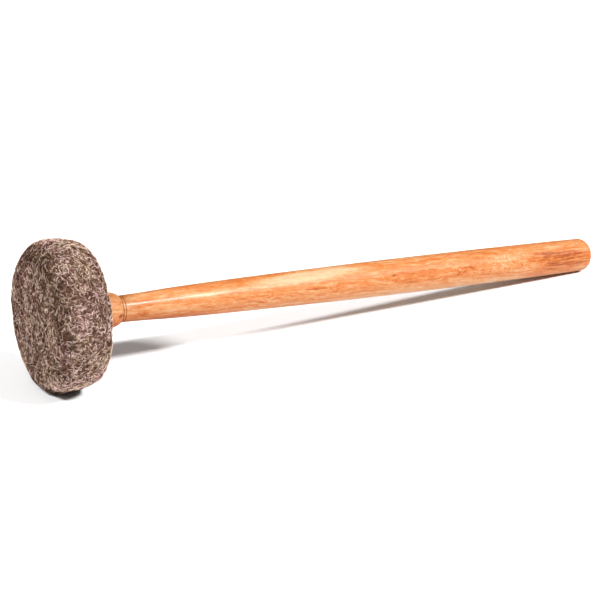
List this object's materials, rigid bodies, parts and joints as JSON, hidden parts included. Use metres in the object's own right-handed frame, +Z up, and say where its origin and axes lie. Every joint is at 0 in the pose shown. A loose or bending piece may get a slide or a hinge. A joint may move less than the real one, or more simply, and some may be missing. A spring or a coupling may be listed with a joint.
{
  "type": "felt-headed drum beater",
  "caption": "Beater with a thick round wool felt head on a turned, lacquered wooden handle, for frame drums and gongs.",
  "frame": {"origin": "centre of the base: under the middle of the beater's length, on the surface that it lies on", "axes": "+X from the head towards the handle's butt, +Z up; the handle's axis falls 4.8 degrees towards +X"},
  "size_m": [0.4382, 0.095, 0.0941],
  "materials": {
    "wool_felt": "needled natural wool felt, mottled grey-brown",
    "pad_felt": "pressed wool felt, undyed",
    "lacquered_wood": "clear satin to gloss lacquer over orange-brown hardwood",
    "core_wood": "bare turned hardwood",
    "plated_steel": "zinc plated"
  },
  "bodies": {
    "root": {"felt_cover": "wool_felt", "handle": "lacquered_wood", "core_disc": "core_wood", "core_screw": "plated_steel", "screw_washer": "plated_steel", "rim_wrap": "pad_felt", "front_pad": "pad_felt", "rear_pad": "pad_felt"}
  },
  "joints": []
}
